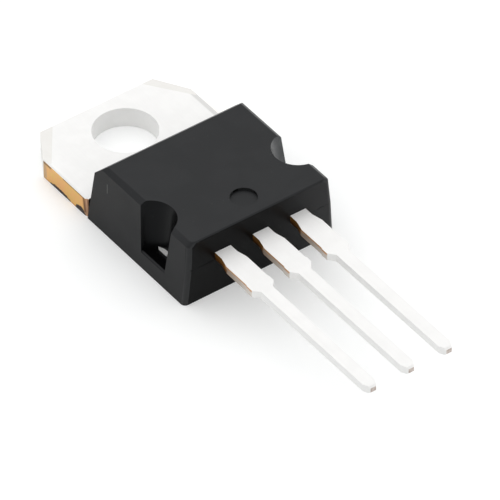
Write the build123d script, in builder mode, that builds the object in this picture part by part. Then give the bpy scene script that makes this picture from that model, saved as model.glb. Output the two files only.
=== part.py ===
from build123d import *
import os
from math import cos, radians, sin, tan

# Triac in a three-lead, hole-mounted power package, lying on the back of its heatsink.
# Frame: origin on the mounting hole's axis at the heatsink's back face, +Z out of the front,
# +Y to the heatsink's free end, so the leads run towards -Y. All sizes are in millimetres.

# ---- heatsink tab -------------------------------------------------------------------------
tab_thickness = 1.32
tab_width = 10.2
hole_radius = 1.9
hole_to_end = 2.8  # hole axis to the free end
hole_to_shoulder = 3.53  # hole axis to the shoulders beside the body
corner_cut_width = 1.25
corner_cut_length = 2.1
coin_end_reach = 0.86  # coined bevel's crease: past the corner cut along the free end,
coin_side_reach = 0.8  # and past it along the side
coin_slope = 7.0
punch_roll = 0.16  # front edges rolled over by the punch
shoulder_cut_width = 0.1
shoulder_cut_length = 0.26
neck_width = 9.2
neck_length = 0.8  # shoulders to the wider end of the base
base_width = 8.4
base_length = 6.0
base_corner_cut = 0.6
lock_step_width = 0.25  # undercut along the base's sides that keys it into the moulding
lock_step_height = 0.5
lock_groove_depth = 0.18
lock_groove_to_shoulder = 0.55

# ---- moulded body -------------------------------------------------------------------------
body_gap = 0.02  # shoulders to the body's back edge, along the floor
body_length = 9.11  # along the floor
body_width = 10.24  # along the floor
body_height = 4.3
side_draft = 4.8
back_draft = 6.2
front_draft = 2.4  # both ways from the parting line
side_bevel_width = 0.28
side_bevel_height = 0.25
back_bevel_length = 0.86
back_bevel_height = 0.85
front_corner_radius = 0.3
top_edge_radius = 0.12
notch_radius = 1.5  # at the top face
notch_draft = 7.0
notch_floor_height = 1.12
notch_to_front = 3.03  # notch axes to the body's front edge, along the floor
left_notch_to_centre = 5.15
right_notch_to_centre = 4.85
ledge_radius = 0.12
dimple_radius = 0.78
dimple_depth = 0.15
dimple_to_front = 1.45

# ---- leads --------------------------------------------------------------------------------
lead_pitch = 2.54
lead_thickness = 0.5
lead_underside_height = 2.46
lead_length = 13.62  # parting line to tip
root_width = 1.05  # where a lead leaves the body
root_length = 0.6
root_taper_length = 0.65
dam_width = 1.4
dam_to_body = 3.65  # body to the far side of the trimmed dam bar
dam_stub_width = 1.49
dam_stub_length = 0.5
leg_width = 0.8
leg_taper_length = 0.4
tip_width = 0.36
tip_taper_length = 0.45
tip_bevel = 0.12

# ---- inside the body ----------------------------------------------------------------------
solder_film = 0.08
solder_margin = 0.15  # edge of what is soldered to the edge of the film
ceramic_width = 7.0
ceramic_length = 4.4
ceramic_thickness = 0.5
ceramic_to_body_back = 0.75
pad_margin = 0.5  # ceramic's edge to the die pad, all round
pad_corner_radius = 0.3
pad_lead_width = 1.1
form_angle = 45.0  # joggle between the die pad and its lead
form_gap = 0.15  # die pad's front edge to the joggle
post_width = 2.0
post_length = 1.7
post_corner_radius = 0.25
post_to_pad_lead = 0.45
post_to_front = 1.3
die_size = 3.1
die_thickness = 0.3
die_solder_film = 0.05
moat_width = 0.14  # glass-passivated groove round the chip's face
moat_depth = 0.04
moat_to_edge = 0.16
main_wire_diameter = 0.38
gate_wire_diameter = 0.15
main_wire_spacing = 0.9
main_bond_shift = 0.5  # middle of the main bonds from the die's centre, towards the left
gate_bond_shift = 1.0  # gate bond from the die's centre, towards the right and the front
bond_foot_length = 3.0  # in wire diameters
bond_flattening = 0.25  # share of the wire's diameter pressed flat at a bond
wire_bend_reach = 0.8  # in wire diameters, either way from a bend's corner
wire_rise_angle = 50.0
wire_fall_angle = 40.0
wire_loop_height = 0.62  # middle of the wire above the bond posts

# ---- places worked out from the sizes above -----------------------------------------------
shoulder_y = -hole_to_shoulder
neck_end_y = shoulder_y - neck_length
base_end_y = neck_end_y - base_length
body_back_y = shoulder_y - body_gap
body_front_y = body_back_y - body_length
front_lean = tan(radians(front_draft))
parting_y = body_front_y - lead_underside_height * front_lean
lead_top_height = lead_underside_height + lead_thickness
ceramic_y = body_back_y - ceramic_to_body_back - ceramic_length / 2
ceramic_bottom = tab_thickness + solder_film
ceramic_top = ceramic_bottom + ceramic_thickness
pad_width = ceramic_width - 2 * pad_margin
pad_length = ceramic_length - 2 * pad_margin
pad_front_y = ceramic_y - pad_length / 2
pad_bottom = ceramic_top + solder_film
pad_top = pad_bottom + lead_thickness
die_bottom = pad_top + die_solder_film
die_top = die_bottom + die_thickness
post_x = pad_lead_width / 2 + post_to_pad_lead + post_width / 2
post_y = body_front_y + post_to_front + post_length / 2

# ---- heatsink: one stamped piece, tab outside the body and base inside it --------------------
# What the coining tool presses away at the right corner, and its mirror image: everything above
# a plane that slopes down from a crease, which runs past both ends of the corner cut.
crease_start = Vector(tab_width / 2 - corner_cut_width - coin_end_reach, hole_to_end, tab_thickness)
crease_end = Vector(tab_width / 2, hole_to_end - corner_cut_length - coin_side_reach, tab_thickness)
crease = crease_end - crease_start
coin_outward = Vector(0, 0, 1).cross(crease).normalized()
coin_normal = coin_outward * sin(radians(coin_slope)) + Vector(0, 0, cos(radians(coin_slope)))

with BuildPart() as coining_tool:
    with Locations(Plane(origin=crease_start + crease / 2, x_dir=crease, z_dir=coin_normal)):
        Box(
            2 * crease.length,
            crease.length,
            tab_thickness,
            align=(Align.CENTER, Align.MIN, Align.MIN),
        )
    mirror(about=Plane.YZ)

with BuildPart() as heatsink_tab:
    with BuildSketch():
        with BuildLine():
            Polyline(
                (0, hole_to_end),
                (tab_width / 2 - corner_cut_width, hole_to_end),
                (tab_width / 2, hole_to_end - corner_cut_length),
                (tab_width / 2, shoulder_y + shoulder_cut_length),
                (tab_width / 2 - shoulder_cut_width, shoulder_y),
                (neck_width / 2, shoulder_y),
                (neck_width / 2, neck_end_y),
                (base_width / 2, neck_end_y),
                (base_width / 2, base_end_y + base_corner_cut),
                (base_width / 2 - base_corner_cut, base_end_y),
                (0, base_end_y),
            )
            mirror(about=Plane.YZ)
        make_face()
    extrude(amount=tab_thickness)
    # the punch rolls over the front edges of the two sides and of the free end
    front_edges = heatsink_tab.faces().sort_by(Axis.Z)[-1].edges()
    outer_sides = front_edges.filter_by(Axis.Y).group_by(lambda edge: abs(edge.center().X))[-1]
    end_edge = front_edges.filter_by(Axis.X).sort_by(Axis.Y)[-1]
    fillet([*outer_sides, end_edge], radius=punch_roll)
    add(coining_tool.part, mode=Mode.SUBTRACT)
    # undercut steps along the base's sides key the copper into the moulding
    with Locations(
        (-base_width / 2, neck_end_y - base_length / 2, 0),
        (base_width / 2, neck_end_y - base_length / 2, 0),
    ):
        Box(
            2 * lock_step_width,
            base_length,
            lock_step_height,
            align=(Align.CENTER, Align.CENTER, Align.MIN),
            mode=Mode.SUBTRACT,
        )
    # V groove across the front face, just inside the body, blocks moisture
    with BuildSketch(Plane.YZ):
        with Locations((shoulder_y - lock_groove_to_shoulder, tab_thickness)):
            RegularPolygon(lock_groove_depth, 4)
    extrude(amount=tab_width / 2, both=True, mode=Mode.SUBTRACT)
    with Locations((0, 0, tab_thickness)):
        Hole(hole_radius)
heatsink_tab.part.label = "heatsink_tab"

# ---- insulating stack between the heatsink and the die pad -----------------------------------
with BuildPart() as insulator_solder:
    with BuildSketch(Plane.XY.offset(tab_thickness)):
        with Locations((0, ceramic_y)):
            Rectangle(ceramic_width - 2 * solder_margin, ceramic_length - 2 * solder_margin)
    extrude(amount=solder_film)
insulator_solder.part.label = "insulator_solder"

with BuildPart() as ceramic_insulator:
    with BuildSketch(Plane.XY.offset(ceramic_bottom)):
        with Locations((0, ceramic_y)):
            Rectangle(ceramic_width, ceramic_length)
    extrude(amount=ceramic_thickness)
ceramic_insulator.part.label = "ceramic_insulator"

with BuildPart() as pad_solder:
    with BuildSketch(Plane.XY.offset(ceramic_top)):
        with Locations((0, ceramic_y)):
            Rectangle(pad_width - 2 * solder_margin, pad_length - 2 * solder_margin)
    extrude(amount=solder_film)
pad_solder.part.label = "pad_solder"


# ---- leads: three flat strips, each with its own inner end ------------------------------------
def lead_plan(inner_end_y):
    """Plan of a lead about x = 0, from inner_end_y inside the body out to its tip."""
    root_end_y = parting_y - root_length
    dam_end_y = parting_y - dam_to_body
    tip_y = parting_y - lead_length
    with BuildSketch() as plan:
        with BuildLine():
            Polyline(
                (0, inner_end_y),
                (root_width / 2, inner_end_y),
                (root_width / 2, root_end_y),
                (dam_width / 2, root_end_y - root_taper_length),
                (dam_width / 2, dam_end_y + dam_stub_length),
                (dam_stub_width / 2, dam_end_y + dam_stub_length),
                (dam_stub_width / 2, dam_end_y),
                (leg_width / 2, dam_end_y - leg_taper_length),
                (leg_width / 2, tip_y + tip_taper_length),
                (tip_width / 2, tip_y),
                (0, tip_y),
            )
            mirror(about=Plane.YZ)
        make_face()
    return plan.sketch


def outer_lead(side):
    """Left (side -1) or right (side 1) lead, with its bond post inside the body."""
    plan = lead_plan(post_y)
    with BuildPart() as lead:
        with BuildSketch(Plane.XY.offset(lead_underside_height)):
            with Locations((side * lead_pitch, 0)):
                add(plan)
            with Locations((side * post_x, post_y)):
                RectangleRounded(post_width, post_length, post_corner_radius)
        extrude(amount=lead_thickness)
        chamfer(lead.edges().group_by(Axis.Y)[0].filter_by(Axis.X), length=tip_bevel)
    return lead


main_terminal_1_lead = outer_lead(-1)
main_terminal_1_lead.part.label = "main_terminal_1_lead"

gate_lead = outer_lead(1)
gate_lead.part.label = "gate_lead"

# The centre lead is formed down to the die pad: its side view, drawn with mitred bends, is
# extruded across the pad and cut to the plan of pad, inner lead and outer lead.
joggle_drop = lead_underside_height - pad_bottom
joggle_low_y = pad_front_y - form_gap
joggle_high_y = joggle_low_y - joggle_drop / tan(radians(form_angle))
miter = lead_thickness / 2 * tan(radians(form_angle / 2))
centre_plan = lead_plan(joggle_high_y)

with BuildPart() as main_terminal_2_lead:
    with BuildSketch(Plane.YZ):
        with BuildLine():
            Polyline(
                (parting_y - lead_length, lead_underside_height),
                (joggle_high_y - miter, lead_underside_height),
                (joggle_low_y - miter, pad_bottom),
                (pad_front_y + pad_length, pad_bottom),
                (pad_front_y + pad_length, pad_top),
                (joggle_low_y + miter, pad_top),
                (joggle_high_y + miter, lead_top_height),
                (parting_y - lead_length, lead_top_height),
                close=True,
            )
        make_face()
    extrude(amount=pad_width / 2, both=True)
    with BuildSketch():
        add(centre_plan)
        with Locations((0, ceramic_y)):
            RectangleRounded(pad_width, pad_length, pad_corner_radius)
        with Locations((0, joggle_high_y)):
            Rectangle(pad_lead_width, ceramic_y - joggle_high_y, align=(Align.CENTER, Align.MIN))
    extrude(amount=lead_top_height, mode=Mode.INTERSECT)
    chamfer(main_terminal_2_lead.edges().group_by(Axis.Y)[0].filter_by(Axis.X), length=tip_bevel)
main_terminal_2_lead.part.label = "main_terminal_2_lead"

# ---- chip ------------------------------------------------------------------------------------
with BuildPart() as die_solder:
    with BuildSketch(Plane.XY.offset(pad_top)):
        with Locations((0, ceramic_y)):
            Rectangle(die_size, die_size)
    extrude(amount=die_solder_film)
die_solder.part.label = "die_solder"

with BuildPart() as silicon_die:
    with BuildSketch(Plane.XY.offset(die_bottom)):
        with Locations((0, ceramic_y)):
            Rectangle(die_size, die_size)
    extrude(amount=die_thickness)
    moat_outer = die_size - 2 * moat_to_edge
    moat_inner = moat_outer - 2 * moat_width
    with BuildSketch(Plane.XY.offset(die_top)):
        with Locations((0, ceramic_y)):
            Rectangle(moat_outer, moat_outer)
            Rectangle(moat_inner, moat_inner, mode=Mode.SUBTRACT)
    extrude(amount=-moat_depth, mode=Mode.SUBTRACT)
silicon_die.part.label = "silicon_die"


# ---- bond wires ------------------------------------------------------------------------------
def eased(route, reach):
    """The route with each corner taken in two lesser bends, reach before and after it."""
    points = [route[0]]
    for before, corner, after in zip(route, route[1:], route[2:]):
        points.append(corner + (before - corner).normalized() * reach)
        points.append(corner + (after - corner).normalized() * reach)
    points.append(route[-1])
    return points


def bond_wire(chip_bond, post_bond, diameter, post):
    """Looped wire from a bond on the chip to a bond on a post, pressed flat on both."""
    foot_height = diameter / 2 - bond_flattening * diameter
    loop_height = lead_top_height + wire_loop_height
    start = Vector(*chip_bond, die_top + foot_height)
    end = Vector(*post_bond, lead_top_height + foot_height)
    along = Vector(end.X - start.X, end.Y - start.Y).normalized()
    half_foot = along * (bond_foot_length * diameter / 2)
    rise = loop_height - start.Z
    fall = loop_height - end.Z
    route = [
        start - half_foot,
        start + half_foot,
        start + half_foot + along * (rise / tan(radians(wire_rise_angle))) + Vector(0, 0, rise),
        end - half_foot - along * (fall / tan(radians(wire_fall_angle))) + Vector(0, 0, fall),
        end - half_foot,
        end + half_foot,
    ]
    with BuildPart() as wire:
        with BuildLine():
            Polyline(eased(route, wire_bend_reach * diameter))
        with BuildSketch(Plane(origin=route[0], z_dir=along)):
            Circle(diameter / 2)
        sweep(transition=Transition.RIGHT)
        add(silicon_die.part, mode=Mode.SUBTRACT)
        add(post.part, mode=Mode.SUBTRACT)
    return wire


def main_wire(offset):
    """Heavy wire to the left lead's post, offset across the post from its middle."""
    chip_bond = (offset - main_bond_shift, ceramic_y)
    return bond_wire(chip_bond, (offset - post_x, post_y), main_wire_diameter, main_terminal_1_lead)


main_terminal_wire_outer = main_wire(-main_wire_spacing / 2)
main_terminal_wire_outer.part.label = "main_terminal_wire_outer"

main_terminal_wire_inner = main_wire(main_wire_spacing / 2)
main_terminal_wire_inner.part.label = "main_terminal_wire_inner"

gate_bond = (gate_bond_shift, ceramic_y - gate_bond_shift)
gate_wire = bond_wire(gate_bond, (post_x, post_y), gate_wire_diameter, gate_lead)
gate_wire.part.label = "gate_wire"

inner_pieces = [
    heatsink_tab,
    insulator_solder,
    ceramic_insulator,
    pad_solder,
    main_terminal_1_lead,
    main_terminal_2_lead,
    gate_lead,
    die_solder,
    silicon_die,
    main_terminal_wire_outer,
    main_terminal_wire_inner,
    gate_wire,
]

# ---- body: moulded round all of them ---------------------------------------------------------
back_knee_height = body_height - back_bevel_height
back_knee_y = body_back_y - back_knee_height * tan(radians(back_draft))
side_knee_height = body_height - side_bevel_height
side_knee_x = body_width / 2 - side_knee_height * tan(radians(side_draft))

with BuildPart() as moulded_body:
    # side view: parting line on the front, draft and a large bevel at the back
    with BuildSketch(Plane.YZ):
        with BuildLine():
            Polyline(
                (body_back_y, 0),
                (back_knee_y, back_knee_height),
                (back_knee_y - back_bevel_length, body_height),
                (parting_y + (body_height - lead_underside_height) * front_lean, body_height),
                (parting_y, lead_underside_height),
                (body_front_y, 0),
                close=True,
            )
        make_face()
    extrude(amount=body_width / 2, both=True)
    # end view: drafted sides and bevelled top edges
    with BuildSketch(Plane.XZ):
        with BuildLine():
            Polyline(
                (0, 0),
                (body_width / 2, 0),
                (side_knee_x, side_knee_height),
                (side_knee_x - side_bevel_width, body_height),
                (0, body_height),
            )
            mirror(about=Plane.YZ)
        make_face()
    extrude(amount=-2 * body_front_y, both=True, mode=Mode.INTERSECT)
    front_faces = moulded_body.faces().sort_by(Axis.Y)[:2]
    fillet(front_faces.edges().filter_by(Axis.X, reverse=True), radius=front_corner_radius)
    fillet(moulded_body.faces().sort_by(Axis.Z)[-1].edges(), radius=top_edge_radius)
    # conical notches left by the mould's two holding pins
    notch_rise = body_height - notch_floor_height
    with Locations(
        (-left_notch_to_centre, body_front_y + notch_to_front, notch_floor_height),
        (right_notch_to_centre, body_front_y + notch_to_front, notch_floor_height),
    ):
        Cone(
            notch_radius - notch_rise * tan(radians(notch_draft)),
            notch_radius,
            notch_rise,
            align=(Align.CENTER, Align.CENTER, Align.MIN),
            mode=Mode.SUBTRACT,
        )
    ledges = moulded_body.edges().filter_by(Axis.Y).group_by(Axis.Z)[1]
    fillet(ledges, radius=ledge_radius)
    # ejector-pin mark
    with Locations((0, body_front_y + dimple_to_front, body_height)):
        Cylinder(
            dimple_radius,
            dimple_depth,
            align=(Align.CENTER, Align.CENTER, Align.MAX),
            mode=Mode.SUBTRACT,
        )
    for piece in inner_pieces:
        add(piece.part, mode=Mode.SUBTRACT)
moulded_body.part.label = "moulded_body"

os.makedirs("parts", exist_ok=True)
for piece in [*inner_pieces, moulded_body]:
    export_step(piece.part, f"parts/{piece.part.label}.step")
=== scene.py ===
"""Finish, fine wear, floor, light and camera for the triac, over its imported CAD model.

Everything is in metres in the frame of the CAD: the mounting hole's axis at the heatsink's back
face is the origin, +Z is out of the front and the leads run towards -Y. Finishes are given in
millimetres, because their nodes read Object coordinates scaled to millimetres.
"""

import logging
from collections.abc import Callable, Sequence
from dataclasses import dataclass, field
from enum import Enum
from functools import cache
from math import cos, radians, sin

import bmesh
import bpy
from mathutils import Matrix, Vector


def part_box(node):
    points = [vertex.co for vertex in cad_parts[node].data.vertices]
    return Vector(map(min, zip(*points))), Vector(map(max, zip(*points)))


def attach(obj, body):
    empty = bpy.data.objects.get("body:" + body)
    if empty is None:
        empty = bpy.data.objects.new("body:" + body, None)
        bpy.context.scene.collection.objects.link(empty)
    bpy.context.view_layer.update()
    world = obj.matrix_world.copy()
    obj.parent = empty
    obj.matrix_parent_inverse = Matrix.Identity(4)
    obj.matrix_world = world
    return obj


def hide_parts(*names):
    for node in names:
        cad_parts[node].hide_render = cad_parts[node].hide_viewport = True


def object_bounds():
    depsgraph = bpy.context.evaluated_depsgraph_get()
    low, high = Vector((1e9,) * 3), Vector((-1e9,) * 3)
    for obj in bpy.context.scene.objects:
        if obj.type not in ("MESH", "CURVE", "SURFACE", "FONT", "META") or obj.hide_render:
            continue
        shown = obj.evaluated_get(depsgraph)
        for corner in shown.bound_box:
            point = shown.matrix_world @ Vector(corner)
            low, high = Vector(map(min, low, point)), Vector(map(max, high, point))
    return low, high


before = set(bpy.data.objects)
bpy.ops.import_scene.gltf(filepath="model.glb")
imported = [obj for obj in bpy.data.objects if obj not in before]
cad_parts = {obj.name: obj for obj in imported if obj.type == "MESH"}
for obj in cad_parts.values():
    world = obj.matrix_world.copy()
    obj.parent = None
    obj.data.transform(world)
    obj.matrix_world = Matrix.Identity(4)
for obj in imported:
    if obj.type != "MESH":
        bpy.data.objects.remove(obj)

CAD_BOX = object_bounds()
MM = 0.001
DAM_TO_BODY = 3.65 * MM
FACING = 0.7  # least component of a unit normal along the axis that its face is said to face
PATCH_RANGE = (0.35, 0.65)  # values of a noise that are spread from 0 to 1, for soft patches
LINE_RANGE = (0.3, 0.7)  # the same, for fainter lines
WHITE = (1.0, 1.0, 1.0)
LOG = logging.getLogger("triac")

Colour = tuple[float, float, float]
Point = tuple[float, float, float]
Input = float | Sequence[float] | bpy.types.NodeSocket


# ---- small helpers ----------------------------------------------------------------------------
@cache
def corners(node: str) -> tuple[Vector, Vector]:
    """Lowest and highest corner of a CAD node, in metres."""
    low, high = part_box(node)
    return Vector(low), Vector(high)


def link(name: str, data: bpy.types.ID) -> bpy.types.Object:
    """Make an object for the data and put it in the scene's collection."""
    made = bpy.data.objects.new(name, data)
    bpy.context.scene.collection.objects.link(made)
    return made


# ---- node tree helper -------------------------------------------------------------------------
class Graph:
    """A node tree being built: adds nodes and links with short calls."""

    def __init__(self, tree: bpy.types.NodeTree) -> None:
        """Wrap a tree.

        Args:
            tree: the shader or geometry node tree to add to.
        """
        self.tree = tree

    def feed(self, node: bpy.types.Node, inputs: dict[str | int, object]) -> None:
        """Give a node's sockets what they are to read.

        Args:
            node: the node.
            inputs: socket name or index to a value, or to an output socket to link from.
        """
        for socket, value in inputs.items():
            if isinstance(value, bpy.types.NodeSocket):
                self.tree.links.new(value, node.inputs[socket])
            else:
                node.inputs[socket].default_value = value

    def add(self, kind: str, inputs: dict[str | int, object] | None = None,
            **settings: object) -> bpy.types.Node:
        """Add one node.

        Args:
            kind: the node's class name.
            inputs: what its sockets are to read, as feed takes it.
            **settings: attributes to set on the node, before its inputs.

        Returns:
            The new node.
        """
        node = self.tree.nodes.new(kind)
        for key, value in settings.items():
            setattr(node, key, value)
        self.feed(node, inputs or {})
        return node

    def math(self, operation: str, *values: Input) -> bpy.types.NodeSocket:
        """Add a Math node and return its output."""
        return self.add("ShaderNodeMath", dict(enumerate(values)), operation=operation).outputs[0]

    def vector(self, operation: str, *values: Input) -> bpy.types.Node:
        """Add a Vector Math node and return it."""
        return self.add("ShaderNodeVectorMath", dict(enumerate(values)), operation=operation)

    def ramp(self, value: Input, low: Input, high: Input, to_low: Input = 0.0,
             to_high: Input = 1.0) -> bpy.types.NodeSocket:
        """Map a value smoothly from one range to another.

        Args:
            value: the value or socket to map.
            low: value that gives to_low.
            high: value that gives to_high.
            to_low: result at low.
            to_high: result at high.

        Returns:
            The mapped value's socket.
        """
        inputs = {"Value": value, "From Min": low, "From Max": high, "To Min": to_low,
                  "To Max": to_high}
        node = self.add("ShaderNodeMapRange", inputs, interpolation_type="SMOOTHSTEP")
        return node.outputs["Result"]

    def noise(self, place: Input, scale: Input, detail: float = 2.0,
              roughness: float = 0.5) -> bpy.types.NodeSocket:
        """Add a Noise Texture node and return its value's socket."""
        inputs = {"Vector": place, "Scale": scale, "Detail": detail, "Roughness": roughness}
        return self.add("ShaderNodeTexNoise", inputs).outputs[0]

    def along(self, place: Input, axis: int) -> bpy.types.NodeSocket:
        """Take the X, Y or Z of a place, by 0, 1 or 2, and return its socket."""
        return self.add("ShaderNodeSeparateXYZ", {0: place}).outputs[axis]

    def mix(self, factor: Input, first: Input, second: Input) -> bpy.types.NodeSocket:
        """Mix two colours and return the result's socket.

        The Mix node has its factor at input 0, its colours at 6 and 7 and their mix at output 2.
        """
        inputs = {0: factor, 6: first, 7: second}
        return self.add("ShaderNodeMix", inputs, data_type="RGBA").outputs[2]

    def group(self, tree: bpy.types.NodeTree, **inputs: object) -> bpy.types.Node:
        """Place a node group with its own values, spaces in socket names written as _."""
        sockets = {name.replace("_", " "): value for name, value in inputs.items()}
        return self.add("ShaderNodeGroup", sockets, node_tree=tree)


def rgba(colour: Sequence[float]) -> tuple[float, float, float, float]:
    """A colour with full alpha."""
    return (*colour, 1.0)


# ---- effects that more than one finish uses ---------------------------------------------------
def effect(name: str, sockets: dict[str, str], results: Sequence[str],
           build: Callable[[Graph, bpy.types.Node, bpy.types.Node], None]) -> bpy.types.NodeTree:
    """Make a shader node group once and return it from then on.

    Args:
        name: the group's name.
        sockets: input name to socket kind, such as NodeSocketFloat.
        results: names of its outputs, all values.
        build: fills the group, given its graph, its input node and its output node.

    Returns:
        The node group.
    """
    made = bpy.data.node_groups.get(name)
    if made:
        return made
    made = bpy.data.node_groups.new(name, "ShaderNodeTree")
    for socket, kind in sockets.items():
        made.interface.new_socket(name=socket, in_out="INPUT", socket_type=kind)
    for socket in results:
        made.interface.new_socket(name=socket, in_out="OUTPUT", socket_type="NodeSocketFloat")
    graph = Graph(made)
    build(graph, graph.add("NodeGroupInput"), graph.add("NodeGroupOutput"))
    return made


def grain() -> bpy.types.NodeTree:
    """Fine random relief and slow patches over a surface, by size in millimetres."""

    def build(graph: Graph, given: bpy.types.Node, result: bpy.types.Node) -> None:
        """Fill the group."""
        place = given.outputs["Place"]
        fine_scale = graph.math("DIVIDE", 1.0, given.outputs["Size"])
        fine = graph.noise(place, fine_scale, detail=3.0, roughness=0.6)
        slow = graph.noise(place, graph.math("DIVIDE", 1.0, given.outputs["Patch Size"]))
        graph.feed(result, {"Height": fine, "Patches": graph.ramp(slow, *PATCH_RANGE)})

    sockets = {"Place": "NodeSocketVector", "Size": "NodeSocketFloat",
               "Patch Size": "NodeSocketFloat"}
    return effect("grain", sockets, ("Height", "Patches"), build)


def streaks() -> bpy.types.NodeTree:
    """Lines drawn out along one direction, as a die or a rubbing cloth leaves them."""

    def build(graph: Graph, given: bpy.types.Node, result: bpy.types.Node) -> None:
        """Fill the group."""
        drawn = graph.add("ShaderNodeMapping", {
            "Vector": given.outputs["Place"], "Scale": given.outputs["Density"]})
        noise = graph.noise(drawn.outputs[0], 1.0, roughness=0.55)
        graph.feed(result, {"Lines": graph.ramp(noise, *LINE_RANGE)})

    sockets = {"Place": "NodeSocketVector", "Density": "NodeSocketVector"}
    return effect("streaks", sockets, ("Lines",), build)


def hairline() -> bpy.types.NodeTree:
    """One thin straight scratch between two points, as a mask that fades outwards from it."""

    def build(graph: Graph, given: bpy.types.Node, result: bpy.types.Node) -> None:
        """Fill the group."""
        start, end = given.outputs["Start"], given.outputs["End"]
        along = graph.vector("SUBTRACT", end, start).outputs[0]
        offset = graph.vector("SUBTRACT", given.outputs["Place"], start).outputs[0]
        travelled = graph.vector("DOT_PRODUCT", offset, along).outputs["Value"]
        length_squared = graph.vector("DOT_PRODUCT", along, along).outputs["Value"]
        share = graph.math("DIVIDE", travelled, length_squared)
        clamped = graph.add("ShaderNodeClamp", {"Value": share}).outputs[0]
        nearest = graph.add("ShaderNodeVectorMath", {0: along, "Scale": clamped},
                            operation="SCALE").outputs[0]
        distance = graph.vector("DISTANCE", offset, nearest).outputs["Value"]
        width = given.outputs["Width"]
        inside = graph.math("SUBTRACT", 1.0, graph.math("DIVIDE", distance, width))
        mask = graph.add("ShaderNodeClamp", {"Value": inside}).outputs[0]
        graph.feed(result, {"Mask": mask})

    sockets = {"Place": "NodeSocketVector", "Start": "NodeSocketVector",
               "End": "NodeSocketVector", "Width": "NodeSocketFloat"}
    return effect("hairline", sockets, ("Mask",), build)


def blot() -> bpy.types.NodeTree:
    """A mark with a ragged outline round a middle, as a mask that is 1 inside it."""
    tongues_per_mm = 5.0
    fade = (0.85, 1.0)

    def build(graph: Graph, given: bpy.types.Node, result: bpy.types.Node) -> None:
        """Fill the group."""
        offset = graph.vector("SUBTRACT", given.outputs["Place"], given.outputs["Middle"])
        share = graph.vector("DIVIDE", offset.outputs[0], given.outputs["Reach"])
        away = graph.vector("LENGTH", share.outputs[0])
        noise = graph.noise(given.outputs["Place"], tongues_per_mm, detail=3.0)
        around_zero = graph.math("SUBTRACT", noise, 0.5)
        jagged = graph.math("MULTIPLY_ADD", around_zero, given.outputs["Raggedness"],
                            away.outputs["Value"])
        graph.feed(result, {"Mask": graph.ramp(jagged, *fade, 1.0, 0.0)})

    sockets = {"Place": "NodeSocketVector", "Middle": "NodeSocketVector",
               "Reach": "NodeSocketVector", "Raggedness": "NodeSocketFloat"}
    return effect("blot", sockets, ("Mask",), build)


# ---- finishes ---------------------------------------------------------------------------------
@dataclass(frozen=True)
class Finish:
    """What every finish has: name, colour and roughness, and its grain's sizes in millimetres."""

    name: str
    colour: Colour
    roughness: float
    grain_size: float = 0.05
    patch_size: float = 0.5
    relief: float = 0.002

    def material(self) -> bpy.types.Material:
        """Make the finish's material once and return it from then on."""
        made = bpy.data.materials.get(self.name)
        if made:
            return made
        made = bpy.data.materials.new(self.name)
        made.use_nodes = True
        graph = Graph(made.node_tree)
        shader = made.node_tree.nodes["Principled BSDF"]
        place = graph.add("ShaderNodeTexCoord").outputs["Object"]
        in_mm = graph.add("ShaderNodeMapping", {"Vector": place, "Scale": (1 / MM,) * 3})
        self.fill(graph, shader, in_mm.outputs[0])
        return made

    def fill(self, graph: Graph, shader: bpy.types.Node, place: bpy.types.NodeSocket) -> None:
        """Set the shader; each finish has its own.

        Args:
            graph: the material's graph.
            shader: its Principled BSDF.
            place: Object coordinates in millimetres.
        """
        raise NotImplementedError

    def cover(self, graph: Graph, place: bpy.types.NodeSocket) -> bpy.types.Node:
        """Place the grain at the finish's own sizes and return its node."""
        return graph.group(grain(), Place=place, Size=self.grain_size,
                           Patch_Size=self.patch_size)

    def bump(self, graph: Graph, shader: bpy.types.Node, height: bpy.types.NodeSocket) -> None:
        """Feed a height to the shader's normal.

        Args:
            graph: the material's graph.
            shader: its Principled BSDF.
            height: height from 0 to 1, where 1 stands for the finish's relief.
        """
        node = graph.add("ShaderNodeBump", {"Height": height, "Strength": 1.0,
                                            "Distance": self.relief * MM})
        graph.feed(shader, {"Normal": node.outputs[0]})


@dataclass(frozen=True)
class TinPlate(Finish):
    """Matte tin plate: near-white, in slow patches, with faint drawn lines.

    Where a shaded roll place is given, the plate is painted darker beyond that place along X:
    painted shade on the rolled edge, which turns away from the light.
    """

    patch_size: float = 0.9
    relief: float = 0.0012
    dull_colour: Colour = (0.9, 0.896, 0.885)
    dull_roughness: float = 0.07
    metallic: float = 0.2
    line_density: Point = (14.0, 0.8, 14.0)
    line_share: float = 0.35
    shaded_roll_from: float = 0.0
    shaded_roll_fade: float = 0.1
    shaded_roll_colour: Colour = (0.72, 0.715, 0.7)

    def fill(self, graph: Graph, shader: bpy.types.Node, place: bpy.types.NodeSocket) -> None:
        """Set the shader. See Finish.fill."""
        cover = self.cover(graph, place)
        lines = graph.group(streaks(), Place=place, Density=self.line_density).outputs["Lines"]
        patches = graph.math("MULTIPLY", cover.outputs["Patches"], 1.0 - self.line_share)
        tone = graph.math("MULTIPLY_ADD", lines, self.line_share, patches)
        colour = graph.mix(tone, rgba(self.dull_colour), rgba(self.colour))
        # Painted shade: the rolled edge beyond this place along X is painted darker.
        if self.shaded_roll_from:
            shaded_roll = graph.ramp(graph.along(place, 0), self.shaded_roll_from,
                                self.shaded_roll_from + self.shaded_roll_fade)
            colour = graph.mix(shaded_roll, colour, rgba(self.shaded_roll_colour))
        roughness = graph.ramp(tone, 0.0, 1.0, self.roughness + self.dull_roughness,
                               self.roughness)
        graph.feed(shader, {"Base Color": colour, "Roughness": roughness,
                            "Metallic": self.metallic})
        self.bump(graph, shader, cover.outputs["Height"])


@dataclass(frozen=True)
class Scratch:
    """A thin straight line between two points, in millimetres."""

    start: Point
    end: Point
    width: float


@dataclass(frozen=True)
class Stain:
    """A mark on a bare side: its middle, how far it reaches along each axis, and its colour."""

    middle: Point
    reach: Point
    colour: Colour
    raggedness: float


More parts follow.
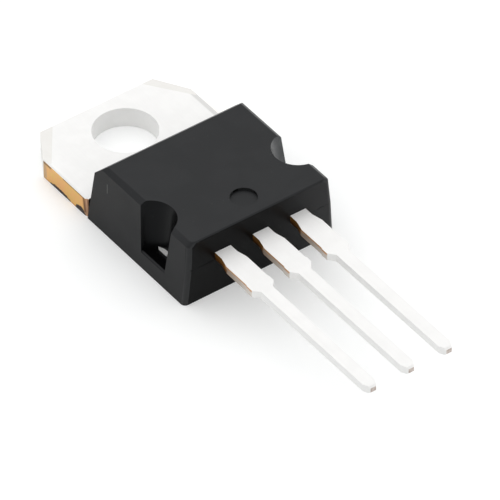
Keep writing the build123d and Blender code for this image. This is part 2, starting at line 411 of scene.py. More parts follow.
@dataclass(frozen=True)
class ShearedCopper(Finish):
    """Bare copper where the strip was cut: burnished, with a torn lower edge, lines and stains.

    torn_raggedness and torn_fade are heights in millimetres. Stains are duller than the copper.
    """

    grain_size: float = 0.06
    patch_size: float = 0.6
    relief: float = 0.004
    warm_colour: Colour = (0.73, 0.41, 0.155)
    line_colour: Colour = (0.1, 0.035, 0.006)
    line_density: Point = (9.0, 9.0, 0.9)
    torn_colour: Colour = (0.52, 0.25, 0.09)
    torn_raggedness: float = 0.05
    torn_fade: tuple[float, float] = (0.03, 0.07)
    stain_roughness: float = 0.6
    stain_metallic: float = 0.2
    stains: tuple[Stain, ...] = ()
    lines: tuple[Scratch, ...] = ()

    def fill(self, graph: Graph, shader: bpy.types.Node, place: bpy.types.NodeSocket) -> None:
        """Set the shader. See Finish.fill."""
        cover = self.cover(graph, place)
        drawn = graph.group(streaks(), Place=place, Density=self.line_density).outputs["Lines"]
        ragged = graph.math("MULTIPLY_ADD", drawn, -self.torn_raggedness,
                            graph.along(place, 2))
        bare = graph.mix(cover.outputs["Patches"], rgba(self.colour), rgba(self.warm_colour))
        colour = graph.mix(graph.ramp(ragged, *self.torn_fade), rgba(self.torn_colour), bare)
        stained: Input = 0.0
        for stain in self.stains:
            mask = graph.group(blot(), Place=place, Middle=stain.middle, Reach=stain.reach,
                               Raggedness=stain.raggedness).outputs["Mask"]
            colour = graph.mix(mask, colour, rgba(stain.colour))
            stained = graph.math("MAXIMUM", stained, mask)
        for line in self.lines:
            mask = graph.group(hairline(), Place=place, Start=line.start, End=line.end,
                               Width=line.width).outputs["Mask"]
            colour = graph.mix(mask, colour, rgba(self.line_colour))
        graph.feed(shader, {
            "Base Color": colour,
            "Roughness": graph.ramp(stained, 0.0, 1.0, self.roughness, self.stain_roughness),
            "Metallic": graph.ramp(stained, 0.0, 1.0, 1.0, self.stain_metallic)})
        self.bump(graph, shader, drawn)


@dataclass(frozen=True)
class LeadEdge(Finish):
    """A stamped lead's side: bare at the root, then thinly tinned below a bare burnished line.

    root_end and dam are places along Y, upper_edge is one along Z, and line_fade and oxide_fade
    are depths below upper_edge, all in millimetres.
    """

    shaded_colour: Colour = (0.4, 0.31, 0.24)
    burnished_colour: Colour = (0.62, 0.33, 0.15)
    root_colour: Colour = (0.45, 0.19, 0.035)
    oxide_colour: Colour = (0.09, 0.028, 0.006)
    tinned_roughness: float = 0.55
    tinned_metallic: float = 0.3
    bare_metallic: float = 0.8
    line_density: Point = (9.0, 3.0, 9.0)
    line_raggedness: float = 0.09
    line_fade: tuple[float, float] = (0.135, 0.21)
    oxide_fade: tuple[float, float] = (0.15, 0.6)
    root_fade: float = 0.3
    root_end: float = field(kw_only=True)
    dam: float = field(kw_only=True)
    upper_edge: float = field(kw_only=True)

    def fill(self, graph: Graph, shader: bpy.types.Node, place: bpy.types.NodeSocket) -> None:
        """Set the shader. See Finish.fill."""
        cover = self.cover(graph, place)
        drawn = graph.group(streaks(), Place=place, Density=self.line_density).outputs["Lines"]
        lengthwise = graph.along(place, 1)
        depth = graph.math("SUBTRACT", self.upper_edge, graph.along(place, 2))
        ragged = graph.math("MULTIPLY_ADD", drawn, self.line_raggedness, depth)
        # Painted shade: the tinned side is painted darker towards the body, between the dam and
        # the root.
        tinned = graph.mix(graph.ramp(lengthwise, self.dam, self.root_end),
                           rgba(self.colour), rgba(self.shaded_colour))
        wide = graph.mix(graph.ramp(ragged, *self.line_fade), rgba(self.burnished_colour), tinned)
        root = graph.mix(graph.ramp(ragged, *self.oxide_fade), rgba(self.root_colour),
                         rgba(self.oxide_colour))
        uneven = graph.math("MULTIPLY_ADD", cover.outputs["Patches"], self.root_fade, lengthwise)
        bare = graph.ramp(uneven, self.root_end, self.root_end + self.root_fade)
        graph.feed(shader, {
            "Base Color": graph.mix(bare, wide, root),
            "Roughness": graph.ramp(bare, 0.0, 1.0, self.tinned_roughness, self.roughness),
            "Metallic": graph.ramp(bare, 0.0, 1.0, self.tinned_metallic, self.bare_metallic)})
        self.bump(graph, shader, cover.outputs["Height"])


@dataclass(frozen=True)
class CutCopper(Finish):
    """Copper where the lead frame was cut off last: dark and matt, with a brighter grain."""

    patch_size: float = 0.2
    relief: float = 0.004
    bright_colour: Colour = (0.66, 0.59, 0.55)
    metallic: float = 0.6

    def fill(self, graph: Graph, shader: bpy.types.Node, place: bpy.types.NodeSocket) -> None:
        """Set the shader. See Finish.fill."""
        cover = self.cover(graph, place)
        colour = graph.mix(cover.outputs["Patches"], rgba(self.colour), rgba(self.bright_colour))
        graph.feed(shader, {"Base Color": colour, "Roughness": self.roughness,
                            "Metallic": self.metallic})
        self.bump(graph, shader, cover.outputs["Height"])


@dataclass(frozen=True)
class MouldedEpoxy(Finish):
    """Black moulding compound: matt as the spark-eroded mould, with dust and a few scratches.

    Where a sheen colour is given, the base colour is painted paler towards it between the two
    places along X, in millimetres: a painted sheen, brighter where the face catches more light.
    """

    grain_size: float = 0.07
    patch_size: float = 1.6
    relief: float = 0.004
    patch_shade: float = 1.15
    patch_roughness: float = 0.02
    worn_colour: Colour = (0.12, 0.12, 0.115)
    dust_scale: float = 2.2
    dust_edge: tuple[float, float] = (0.03, 0.05)
    dust_strength: float = 0.35
    scratches: tuple[Scratch, ...] = ()
    specular: float = 0.29
    tint: Colour = (0.93, 0.97, 1.0)
    painted_sheen_colour: Colour | None = None
    painted_sheen_from: float = 0.2
    painted_sheen_to: float = 5.0

    def fill(self, graph: Graph, shader: bpy.types.Node, place: bpy.types.NodeSocket) -> None:
        """Set the shader. See Finish.fill."""
        cover = self.cover(graph, place)
        patches = cover.outputs["Patches"]
        dust = graph.add("ShaderNodeTexVoronoi", {"Vector": place, "Scale": self.dust_scale})
        marks = graph.ramp(dust.outputs["Distance"], *self.dust_edge, self.dust_strength, 0.0)
        for scratch in self.scratches:
            line = graph.group(hairline(), Place=place, Start=scratch.start, End=scratch.end,
                               Width=scratch.width).outputs["Mask"]
            marks = graph.math("MAXIMUM", marks, line)
        shade = [channel * self.patch_shade for channel in self.colour]
        matrix = graph.mix(patches, rgba(self.colour), rgba(shade))
        # A painted sheen: the base colour grows paler along X, standing in for reflected light.
        if self.painted_sheen_colour:
            painted_sheen = graph.ramp(graph.along(place, 0), self.painted_sheen_from, self.painted_sheen_to)
            matrix = graph.mix(painted_sheen, matrix, rgba(self.painted_sheen_colour))
        graph.feed(shader, {
            "Base Color": graph.mix(marks, matrix, rgba(self.worn_colour)),
            "Roughness": graph.ramp(patches, 0.0, 1.0, self.roughness + self.patch_roughness,
                                    self.roughness - self.patch_roughness),
            "Specular IOR Level": self.specular,
            "Specular Tint": rgba(self.tint)})
        self.bump(graph, shader, cover.outputs["Height"])


@dataclass(frozen=True)
class SealedFinish(Finish):
    """What the sealed pieces share: two colours in patches, rougher where the grain is high."""

    added_roughness: float = 0.1
    metallic: float = 0.0
    patch_colour: Colour = field(kw_only=True)

    def fill(self, graph: Graph, shader: bpy.types.Node, place: bpy.types.NodeSocket) -> None:
        """Set the shader. See Finish.fill."""
        cover = self.cover(graph, place)
        height = cover.outputs["Height"]
        graph.feed(shader, {
            "Base Color": graph.mix(cover.outputs["Patches"], rgba(self.patch_colour),
                                    rgba(self.colour)),
            "Roughness": graph.ramp(height, *LINE_RANGE, self.roughness,
                                    self.roughness + self.added_roughness),
            "Metallic": self.metallic})
        self.bump(graph, shader, height)


@dataclass(frozen=True)
class InnerMetal(SealedFinish):
    """Solder and bond wire: a dull metal."""

    grain_size: float = 0.08
    patch_colour: Colour = (0.45, 0.45, 0.47)
    metallic: float = 1.0


@dataclass(frozen=True)
class InnerCeramic(SealedFinish):
    """Alumina and passivated silicon: a fine-grained insulator."""

    grain_size: float = 0.03
    patch_size: float = 0.4
    relief: float = 0.001
    patch_colour: Colour = (0.8, 0.79, 0.76)
    added_roughness: float = 0.12


# ---- dressing a CAD node ----------------------------------------------------------------------
@dataclass
class Dressing:
    """Turns a copy of a CAD node's loose triangles into a smooth, slightly rounded mesh.

    Faces that differ by less than flat_angle are joined, edges folded by sharp_angle or more may
    be rounded, and those folded by less than smooth_angle are shaded smooth.
    """

    edge_radius: float = 0.03 * MM
    sharp_angle: float = radians(24)
    segments: int = 3
    weld: float = 0.0002 * MM
    flat_angle: float = radians(0.5)
    smooth_angle: float = radians(32)

    def copy(self, node: str, name: str,
             rounded: Callable[[Vector], bool]) -> bpy.types.Object:
        """Copy a node's mesh, weld it and round the sharp edges that are wanted.

        Args:
            node: the CAD node's name.
            name: the new piece's name.
            rounded: tells by an edge's middle point whether to round it.

        Returns:
            The new object, in place at the origin.
        """
        mesh = bpy.data.meshes.new(name)
        shape = bmesh.new()
        shape.from_mesh(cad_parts[node].data)
        bmesh.ops.remove_doubles(shape, verts=shape.verts, dist=self.weld)
        bmesh.ops.dissolve_limit(shape, angle_limit=self.flat_angle, verts=shape.verts,
                                 edges=shape.edges)
        weights = shape.edges.layers.float.new("bevel_weight_edge")
        for edge in shape.edges:
            if not edge.is_manifold or edge.calc_face_angle(0.0) < self.sharp_angle:
                continue
            middle = (edge.verts[0].co + edge.verts[1].co) / 2
            edge[weights] = 1.0 if rounded(middle) else 0.0
        shape.to_mesh(mesh)
        shape.free()
        piece = link(name, mesh)
        bevel = piece.modifiers.new("round", "BEVEL")
        bevel.limit_method = "WEIGHT"
        bevel.width = self.edge_radius
        bevel.segments = self.segments
        bevel.miter_outer = "MITER_ARC"
        self.apply(piece)
        piece.data.shade_smooth()
        piece.data.set_sharp_from_angle(angle=self.smooth_angle)
        weighted = piece.modifiers.new("flat faces", "WEIGHTED_NORMAL")
        weighted.keep_sharp = True
        self.apply(piece)
        return piece

    def apply(self, piece: bpy.types.Object) -> None:
        """Apply every modifier of a piece to its mesh."""
        evaluated = piece.evaluated_get(bpy.context.evaluated_depsgraph_get())
        result = bpy.data.meshes.new_from_object(evaluated)
        piece.modifiers.clear()
        old = piece.data
        piece.data = result
        result.name = piece.name
        bpy.data.meshes.remove(old)


def paint(piece: bpy.types.Object, finishes: dict[Enum, Finish],
          region: Callable[[Vector, Vector], Enum]) -> None:
    """Give each face of a piece the finish of the region that it lies in.

    Args:
        piece: the piece.
        finishes: the finish of each region.
        region: tells by a face's middle and unit normal which region it lies in.
    """
    piece.data.materials.clear()
    for finish in finishes.values():
        piece.data.materials.append(finish.material())
    indices = {part: index for index, part in enumerate(finishes)}
    for face in piece.data.polygons:
        face.material_index = indices[region(face.center, face.normal)]


class Patch(Enum):
    """Surfaces of a stamped and plated piece."""

    PLATED = "plated"
    COINED = "pressed down by the coining tool"
    SHEARED = "sheared after plating"
    CUT_END = "cut off last"
    # Painted shade: the shoulders in the narrow gap at the body, given the black epoxy.
    SHADED_GAP = "covered by resin bleed"


@dataclass
class StampedPiece:
    """A piece stamped from plated copper strip, with its finish for each patch."""

    node: str
    finishes: dict[Patch, Finish]
    dressing: Dressing = field(default_factory=Dressing)

    def patch(self, centre: Vector, normal: Vector) -> Patch:
        """Tell which patch a face belongs to; each piece has its own rule.

        Args:
            centre: the face's middle, in metres.
            normal: its unit normal.

        Returns:
            The patch, one that the piece has a finish for.
        """
        raise NotImplementedError

    def is_rounded(self, middle: Vector) -> bool:
        """Whether an edge is rounded; each piece has its own rule."""
        raise NotImplementedError

    def build(self) -> bpy.types.Object:
        """Build the piece, give its faces their finishes and attach it.

        Returns:
            The new object, which stands for its CAD node.
        """
        piece = self.dressing.copy(self.node, f"{self.node}_finished", self.is_rounded)
        paint(piece, self.finishes, self.patch)
        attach(piece, "root")
        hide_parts(self.node)
        LOG.info("%s: %d faces", piece.name, len(piece.data.polygons))
        return piece


@dataclass
class HeatsinkTab(StampedPiece):
    """The heatsink: long sides sheared after plating, and its shoulders at the body given the
    black epoxy as painted shade in the narrow gap there.

    side_facing is the least X of the normal of a sheared side, and pressed_slope the greatest Z
    of that of a face that the coining tool pressed.
    """

    side_depth: float = 0.35 * MM
    side_facing: float = 0.93
    corner_start: float = 2.6 * MM
    pressed_slope: float = 0.998
    shaded_gap_reach: float = 0.3 * MM

    def patch(self, centre: Vector, normal: Vector) -> Patch:
        """Tell which patch a face belongs to. See StampedPiece.patch."""
        half_width = corners(self.node)[1].x
        body_back = corners("moulded_body")[1].y
        # Shoulder faces in the gap at the body get the black epoxy: painted shade.
        if normal.y < -FACING and abs(centre.y - body_back) < self.shaded_gap_reach:
            return Patch.SHADED_GAP
        at_side = abs(centre.x) > half_width - self.side_depth and centre.y > body_back
        if at_side and abs(normal.x) > self.side_facing:
            return Patch.SHEARED
        at_corner = centre.y > 0.0 and abs(centre.x) > self.corner_start
        pressed = abs(normal.z) < self.pressed_slope
        return Patch.COINED if at_corner and pressed else Patch.PLATED

    def is_rounded(self, middle: Vector) -> bool:
        """Whether an edge is rounded: those of the tab outside the body are."""
        return middle.y > corners("moulded_body")[1].y


@dataclass
class Lead(StampedPiece):
    """A lead: its sides are bare or thinly tinned up to the dam bar, and its tip is cut off.

    upright is the greatest Z of the normal of a face that counts as a side.
    """

    tip_depth: float = 0.05 * MM
    upright: float = 0.5

    def patch(self, centre: Vector, normal: Vector) -> Patch:
        """Tell which patch a face belongs to. See StampedPiece.patch."""
        if normal.y < -FACING and centre.y < corners(self.node)[0].y + self.tip_depth:
            return Patch.CUT_END
        near_body = centre.y > corners("moulded_body")[0].y - DAM_TO_BODY
        sheared = near_body and abs(normal.z) < self.upright
        return Patch.SHEARED if sheared else Patch.PLATED

    def is_rounded(self, middle: Vector) -> bool:
        """Whether an edge is rounded: all that show outside the body are."""
        return middle.y < corners("moulded_body")[0].y


class Wall(Enum):
    """Walls of the mould's cavity, by how they were worked. Their finishes' base colours also
    carry
    painted light and shade: the top is painted lighter than the sides and ends, and the notches
    darker still, as painted shade.
    """

    TOP = "the marking face and its bevels"
    SIDE = "the drafted sides"
    END = "the drafted ends"
    # The rounded upright edges' finish has a paler base colour than the faces beside it: painted
    # light along the corners, not wear.
    EDGE = "the rounded upright edges, which wear first"
    NOTCH = "the mould's cone that leaves the left notch, and its floor"
    GLOSSY_NOTCH = "the same in the right notch, where the mould is smoother"


@dataclass
class MouldedBody:
    """The moulded body, with its rounded edges; the upright ones are painted paler, as painted
    light.

    notch_front and notch_back run back from the body's front, notch_depth and side_depth in
    from its side, and notch_top down from its top. The turns and the slope are the least
    components of the normals of a notch's wall, a corner and a bevel.
    """

    finishes: dict[Wall, Finish]
    notch_front: float = 1.0 * MM
    notch_back: float = 4.9 * MM
    notch_depth: float = 2.0 * MM
    notch_top: float = 0.1 * MM
    side_depth: float = 0.5 * MM
    notch_turn: float = 0.2
    corner_turn: float = 0.15
    bevel_slope: float = 0.5
    clearance: float = 0.02 * MM
    dressing: Dressing = field(default_factory=lambda: Dressing(edge_radius=0.06 * MM))
    node: str = "moulded_body"

    def wall(self, centre: Vector, normal: Vector) -> Wall:
        """Tell which wall of the cavity shaped a face.

        Args:
            centre: the face's middle, in metres.
            normal: its unit normal.

        Returns:
            The wall.
        """
        low, high = corners(self.node)
        inset = high.x - abs(centre.x)
        ahead = centre.y - low.y
        below = high.z - centre.z
        between = self.notch_front < ahead < self.notch_back and inset < self.notch_depth
        hollowed = abs(normal.y) > self.notch_turn or inset > self.side_depth
        if between and below > self.notch_top and hollowed:
            return Wall.GLOSSY_NOTCH if centre.x > 0.0 else Wall.NOTCH
        if normal.z > self.bevel_slope:
            return Wall.TOP
        if min(abs(normal.x), abs(normal.y)) > self.corner_turn:
            return Wall.EDGE
        return Wall.SIDE if abs(normal.x) > abs(normal.y) else Wall.END

    def is_outside(self, middle: Vector) -> bool:
        """Whether a point of the body's mesh is clear of every other node's box."""
        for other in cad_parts:
            if other == self.node:
                continue
            low, high = corners(other)
            margins = [min(middle[i] - low[i], high[i] - middle[i]) for i in range(3)]
            if min(margins) > -self.clearance:
                return False
        return True

    def build(self) -> bpy.types.Object:
        """Build the body and attach it.

        Returns:
            The new object, which stands for its CAD node.
        """
        piece = self.dressing.copy(self.node, f"{self.node}_finished", self.is_outside)
        paint(piece, self.finishes, self.wall)
        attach(piece, "root")
        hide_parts(self.node)
        LOG.info("%s: %d faces", piece.name, len(piece.data.polygons))
        return piece


@dataclass
class PartingFlash:
    """A thin uneven bead of resin where the mould's halves met along the body's front."""

    finish: Finish
    body: MouldedBody
    corner_reach: float = 0.02 * MM
    step: float = 0.05 * MM
    thinnest: float = 0.006 * MM
    thickest: float = 0.035 * MM
    patch_length: float = 0.6 * MM
    facets: int = 6
    seed: float = 7.0

    def line(self) -> bpy.types.Mesh:
        """Cut the body at the parting plane and keep the front's edges that no lead crosses."""
        front = corners(self.body.node)[0].y
        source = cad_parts[self.body.node].data
        parting = min(source.vertices, key=lambda vertex: vertex.co.y).co
        shape = bmesh.new()
        shape.from_mesh(source)
        everything = [*shape.verts, *shape.edges, *shape.faces]
        just_above = parting + Vector((0, 0, self.thinnest))
        cut = bmesh.ops.bisect_plane(shape, geom=everything, plane_co=just_above,
                                     plane_no=(0, 0, 1))["geom_cut"]
        places: list[Vector] = []
        pairs: list[tuple[int, int]] = []
        for edge in cut:
            if not isinstance(edge, bmesh.types.BMEdge):
                continue
            ends = [vertex.co.copy() for vertex in edge.verts]
            middle = (ends[0] + ends[1]) / 2
            if middle.y < front + self.corner_reach and self.body.is_outside(middle):
                pairs.append((len(places), len(places) + 1))
                places += ends
        shape.free()
        mesh = bpy.data.meshes.new("parting_flash")
        mesh.from_pydata(places, pairs, [])
        return mesh

    def tree(self) -> bpy.types.NodeTree:
        """Make the node tree that turns the line into a bead of uneven thickness."""
        made = bpy.data.node_groups.new("parting_flash", "GeometryNodeTree")
        made.interface.new_socket(name="Line", in_out="INPUT", socket_type="NodeSocketGeometry")
        for name in ("Step", "Thinnest", "Thickest", "Patch Length", "Seed"):
            made.interface.new_socket(name=name, in_out="INPUT", socket_type="NodeSocketFloat")
        made.interface.new_socket(name="Bead", in_out="OUTPUT", socket_type="NodeSocketGeometry")
        graph = Graph(made)
        given = graph.add("NodeGroupInput").outputs
        joined = graph.add("GeometryNodeMergeByDistance", {
            "Geometry": given["Line"], "Distance": given["Thinnest"]})
        path = graph.add("GeometryNodeMeshToCurve", {"Mesh": joined.outputs[0]})
        even = graph.add("GeometryNodeResampleCurve", {
            "Curve": path.outputs[0], "Length": given["Step"]}, mode="LENGTH")
        noise = graph.add("ShaderNodeTexNoise", {
            "Vector": graph.add("GeometryNodeInputPosition").outputs[0], "W": given["Seed"],
            "Scale": graph.math("DIVIDE", 1.0, given["Patch Length"])}, noise_dimensions="4D")
        thickness = graph.ramp(noise.outputs[0], *PATCH_RANGE, given["Thinnest"],
                               given["Thickest"])
        profile = graph.add("GeometryNodeCurvePrimitiveCircle", {
            "Resolution": self.facets, "Radius": 1.0})
        bead = graph.add("GeometryNodeCurveToMesh", {
            "Curve": even.outputs[0], "Profile Curve": profile.outputs[0], "Scale": thickness,
            "Fill Caps": True})
        real = graph.add("GeometryNodeRealizeInstances", {"Geometry": bead.outputs[0]})
        finished = graph.add("GeometryNodeSetMaterial", {
            "Geometry": real.outputs[0], "Material": self.finish.material()})
        graph.add("NodeGroupOutput", {"Bead": finished.outputs[0]})
        return made

    def build(self) -> bpy.types.Object:
        """Build the bead and attach it.

        Returns:
            The new object.
        """
        piece = link("parting_flash", self.line())
        modifier = piece.modifiers.new("bead", "NODES")
        modifier.node_group = self.tree()
        values = {"Step": self.step, "Thinnest": self.thinnest, "Thickest": self.thickest,
                  "Patch Length": self.patch_length, "Seed": self.seed}
        for socket in modifier.node_group.interface.items_tree:
            if socket.in_out == "INPUT" and socket.name in values:
                modifier[socket.identifier] = values[socket.name]
        self.body.dressing.apply(piece)
        piece.data.shade_smooth()
        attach(piece, "root")
        LOG.info("%s: %d faces", piece.name, len(piece.data.polygons))
        return piece


@dataclass
class SealedParts:
    """What the body hides: each CAD node stays and gets its own finish."""

    finishes: dict[str, Finish]

    def dress(self) -> None:
        """Give each sealed node its finish."""
        for node, finish in self.finishes.items():
            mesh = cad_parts[node].data
            mesh.materials.clear()
            mesh.materials.append(finish.material())
            LOG.info("%s: %s", node, finish.name)


# ---- studio -----------------------------------------------------------------------------------
@dataclass
class Studio:
    """Pale floor, soft light from above and behind, and the camera.

    Angles are in degrees and the softbox's power is in watts. horizon_band is the range of a
    direction's Z over which the light grows from horizon to zenith.
    """

    azimuth: float = -36.06
    elevation: float = 41.77
    roll: float = -0.23
    distance: float = 389.4 * MM
    target: Vector = field(default_factory=lambda: Vector((-0.794, -12.861, 2.03)) * MM)
    focal_length: float = 513.5
    nearest: float = 0.01
    farthest: float = 10.0
    floor_size: float = 2.0
    floor_colour: Colour = (0.86, 0.868, 0.866)
    floor_roughness: float = 0.9
    floor_specular: float = 0.1
    floor_gap: float = 0.01 * MM
    floor_lift: float = 0.22
    zenith: float = 1.0
    horizon: float = 0.78
    horizon_band: tuple[float, float] = (0.1, 0.6)
    back_bias: float = 0.1
    right_bias: float = 0.2
    softbox_place: Vector = field(default_factory=lambda: Vector((-0.05, 0.45, 0.55)))
    softbox_size: float = 0.6
    softbox_power: float = 0.48

    def camera(self) -> None:
        """Place the camera on its long lens and make it the scene's."""
        azimuth, elevation, roll = map(radians, (self.azimuth, self.elevation, self.roll))
        back = Vector((sin(azimuth) * cos(elevation), -cos(azimuth) * cos(elevation),
                       sin(elevation)))
        right = (-back).cross(Vector((0, 0, 1))).normalized()
        up = back.cross(right)
        turned_right = right * cos(roll) + up * sin(roll)
        turned_up = up * cos(roll) - right * sin(roll)
        axes = Matrix((turned_right, turned_up, back)).transposed().to_4x4()
        lens = bpy.data.cameras.new("camera")
        lens.lens = self.focal_length
        lens.clip_start = self.nearest
        lens.clip_end = self.farthest
        camera = link("camera", lens)
        camera.matrix_world = Matrix.Translation(self.target + back * self.distance) @ axes
        bpy.context.scene.camera = camera

    def is_shown(self, graph: Graph) -> bpy.types.NodeSocket:
        """1 where the camera, a reflection or something clear shows the surroundings, else 0."""
        path = graph.add("ShaderNodeLightPath")
        reflected = graph.math("MAXIMUM", path.outputs["Is Glossy Ray"],
                               path.outputs["Is Transmission Ray"])
        return graph.math("MAXIMUM", path.outputs["Is Camera Ray"], reflected)

    def floor(self) -> None:
        """Lay the floor: shown a little paler than it is lit, and clear from below."""
        shape = bmesh.new()
        bmesh.ops.create_grid(shape, x_segments=1, y_segments=1, size=self.floor_size / 2)
        mesh = bpy.data.meshes.new("floor")
        shape.to_mesh(mesh)
        shape.free()
        mesh.transform(Matrix.Translation((0, 0, CAD_BOX[0][2] - self.floor_gap)))
        material = bpy.data.materials.new("floor")
        material.use_nodes = True
        graph = Graph(material.node_tree)
        shader = material.node_tree.nodes["Principled BSDF"]
        graph.feed(shader, {"Base Color": rgba(self.floor_colour),
                            "Roughness": self.floor_roughness,
                            "Specular IOR Level": self.floor_specular})
        lift = graph.add("ShaderNodeEmission", {
            "Color": rgba(WHITE),
            "Strength": graph.math("MULTIPLY", self.is_shown(graph), self.floor_lift)})
        both = graph.add("ShaderNodeAddShader", {0: shader.outputs[0], 1: lift.outputs[0]})
        one_sided = graph.add("ShaderNodeMixShader", {
            0: graph.add("ShaderNodeNewGeometry").outputs["Backfacing"], 1: both.outputs[0],
            2: graph.add("ShaderNodeBsdfTransparent").outputs[0]})
        graph.feed(material.node_tree.nodes["Material Output"],
                   {"Surface": one_sided.outputs[0]})
        mesh.materials.append(material)
        link("floor", mesh)

    def world(self) -> None:
        """Light the scene from all round: bright above, darker towards the horizon."""
        world = bpy.data.worlds.new("studio")
        bpy.context.scene.world = world
        world.use_nodes = True
        graph = Graph(world.node_tree)
        direction = graph.add("ShaderNodeTexCoord").outputs["Generated"]
        height = graph.ramp(graph.along(direction, 2), *self.horizon_band, self.horizon,
                            self.zenith)
        sideways = graph.math("MULTIPLY_ADD", graph.along(direction, 0), self.right_bias, 1.0)
        lean = graph.math("MULTIPLY_ADD", graph.along(direction, 1), self.back_bias, sideways)
        strength = graph.math("MULTIPLY", height, lean)
        graph.feed(world.node_tree.nodes["Background"], {
            "Color": rgba(WHITE),
            "Strength": graph.math("MAXIMUM", self.is_shown(graph), strength)})

    def softbox(self) -> None:
        """Hang a square soft lamp, by its place from the camera's target, and point it there."""
        light = bpy.data.lights.new("softbox", "AREA")
        light.shape = "SQUARE"
        light.size = self.softbox_size
        light.energy = self.softbox_power
        lamp = link("softbox", light)
        lamp.location = self.target + self.softbox_place
        lamp.rotation_euler = self.softbox_place.to_track_quat("Z", "Y").to_euler()

    def build(self) -> None:
        """Build the whole studio."""
        self.camera()
        self.floor()
        self.world()
        self.softbox()
        bpy.context.scene.view_settings.view_transform = "Standard"
        LOG.info("studio built")


# ---- the triac --------------------------------------------------------------------------------
# Places and widths are in millimetres. TAB_SIDE is the tab's left side along X, which is
# below zero, and the right side is at the same distance above it.
BODY_FRONT = corners("moulded_body")[0].y / MM
TAB_SIDE = corners("heatsink_tab")[0].x / MM
# SHOULDER_SIDE places a painted shade line next to the gap at the body.
SHOULDER_SIDE = TAB_SIDE + 0.09
SHADED_ROLL_WIDTH = 0.4
ROOT_LENGTH = 1.2
FRESH_TIN = (0.93, 0.926, 0.915)
BLACK = (0.02, 0.012, 0.012)
TIN = TinPlate("tin_plate", FRESH_TIN, 0.5, metallic=0.12)
# The tab's plate is painted darker along its right edge: painted shade on the rolled edge.
TAB_TIN = TinPlate("tab_tin", FRESH_TIN, 0.5, shaded_roll_from=-TAB_SIDE - SHADED_ROLL_WIDTH)
COINED_TIN = TinPlate("coined_tin", (0.84, 0.828, 0.8), 0.42, dull_colour=(0.82, 0.805, 0.775))
TAB_SIDE_MARKS = (
    Stain((TAB_SIDE, 0.9, 0.5), (1.0, 0.55, 1.2), (0.58, 0.38, 0.2), 0.5),
    Stain((TAB_SIDE, -3.42, 0.5), (1.0, 0.2, 1.0), (0.55, 0.31, 0.18), 0.1),
    # Black patches along the tab's bottom edges, at Z 0, darker towards the floor.
    Stain((TAB_SIDE, -0.9, 0.0), (1.0, 1.05, 0.24), BLACK, 0.6),
    Stain((TAB_SIDE, -2.85, 0.0), (1.0, 0.5, 0.42), BLACK, 0.4),
    Stain((-TAB_SIDE, 0.15, 0.0), (1.0, 0.55, 0.2), BLACK, 0.6),
    Stain((-TAB_SIDE, -2.3, 0.0), (1.0, 0.8, 0.24), BLACK, 0.6),
)
TAB_LINES = (
    Scratch((TAB_SIDE, 0.7, 1.14), (TAB_SIDE, 0.0, 1.14), 0.1),
    Scratch((TAB_SIDE, -1.2, 1.19), (TAB_SIDE, -3.1, 1.19), 0.04),
    Scratch((TAB_SIDE, -3.29, 0.3), (TAB_SIDE, -3.18, 1.25), 0.18),
    # Painted shade: a dark line on the side where it meets the gap at the body.
    Scratch((SHOULDER_SIDE, -3.53, 0.0), (SHOULDER_SIDE, -3.5, 1.2), 0.12),
    Scratch((-TAB_SIDE, 0.65, 1.19), (-TAB_SIDE, -0.6, 1.19), 0.05),
    Scratch((-TAB_SIDE, -3.27, 0.2), (-TAB_SIDE, -3.22, 1.25), 0.12),
)
TAB_COPPER = ShearedCopper("tab_sheared_copper", (0.7, 0.447, 0.14), 0.36, stains=TAB_SIDE_MARKS,
                           lines=TAB_LINES)
LEAD_EDGE = LeadEdge("lead_edge", (0.72, 0.67, 0.62), 0.4, root_end=BODY_FRONT - ROOT_LENGTH,
                     dam=BODY_FRONT - DAM_TO_BODY / MM,
                     upper_edge=corners("main_terminal_1_lead")[1].z / MM)
LEAD_TIP = CutCopper("lead_tip", (0.45, 0.38, 0.34), 0.5)
SIDE_SCRATCH = Scratch((-4.835, -5.12, 3.4), (-4.881, -5.17, 2.85), 0.04)
# The epoxy finishes are lit and shaded copies of one compound: besides their own gloss, the top's
# base colour is painted lighter, the sides' and ends' darker and the notches' darkest, as painted
# light and shade.
EPOXY = MouldedEpoxy("moulded_epoxy", (0.005, 0.005, 0.0056), 0.46)
SIDE_EPOXY = MouldedEpoxy("side_epoxy", (0.003, 0.003, 0.0035), 0.34, specular=0.15,
                          scratches=(SIDE_SCRATCH,))
# The ends' sheen colour is a painted sheen: the front is painted paler towards its right end.
END_EPOXY = MouldedEpoxy("end_epoxy", (0.003, 0.003, 0.003), 0.34, specular=0.075,
                         painted_sheen_colour=(0.03, 0.03, 0.031))
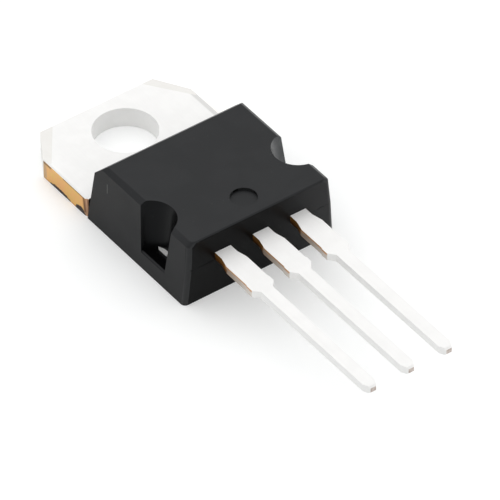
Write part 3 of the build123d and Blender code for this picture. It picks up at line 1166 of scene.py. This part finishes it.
# Paler base colour on the rounded upright edges: painted light.
EDGE_EPOXY = MouldedEpoxy("edge_epoxy", (0.014, 0.014, 0.0145), 0.42, specular=0.25)
NOTCH_EPOXY = MouldedEpoxy("notch_epoxy", (0.002, 0.002, 0.0022), 0.25, relief=0.001,
                           specular=0.11)
GLOSSY_EPOXY = MouldedEpoxy("glossy_notch_epoxy", (0.002, 0.002, 0.0022), 0.28, relief=0.001,
                            specular=0.65)
SOLDER = InnerMetal("solder", (0.6, 0.61, 0.63), 0.45)
ALUMINIUM = InnerMetal("bond_wire_aluminium", (0.82, 0.82, 0.83), 0.3,
                       patch_colour=(0.76, 0.76, 0.78))
ALUMINA = InnerCeramic("alumina", (0.87, 0.86, 0.83), 0.6)
SILICON = InnerCeramic("passivated_silicon", (0.2, 0.21, 0.25), 0.25,
                       patch_colour=(0.16, 0.17, 0.22))


def main() -> None:
    """Build the studio and every piece, in order."""
    logging.basicConfig(level=logging.INFO, format="%(name)s: %(message)s")
    Studio().build()
    HeatsinkTab("heatsink_tab", {Patch.PLATED: TAB_TIN, Patch.COINED: COINED_TIN,
                                 Patch.SHEARED: TAB_COPPER, Patch.SHADED_GAP: EPOXY}).build()
    for node in ("main_terminal_1_lead", "main_terminal_2_lead", "gate_lead"):
        Lead(node, {Patch.PLATED: TIN, Patch.SHEARED: LEAD_EDGE,
                    Patch.CUT_END: LEAD_TIP}).build()
    body = MouldedBody({Wall.TOP: EPOXY, Wall.SIDE: SIDE_EPOXY, Wall.END: END_EPOXY,
                        Wall.EDGE: EDGE_EPOXY, Wall.NOTCH: NOTCH_EPOXY,
                        Wall.GLOSSY_NOTCH: GLOSSY_EPOXY})
    body.build()
    PartingFlash(END_EPOXY, body).build()
    SealedParts({
        "insulator_solder": SOLDER,
        "pad_solder": SOLDER,
        "die_solder": SOLDER,
        "ceramic_insulator": ALUMINA,
        "silicon_die": SILICON,
        "main_terminal_wire_outer": ALUMINIUM,
        "main_terminal_wire_inner": ALUMINIUM,
        "gate_wire": ALUMINIUM,
    }).dress()


if __name__ == "__main__":
    main()
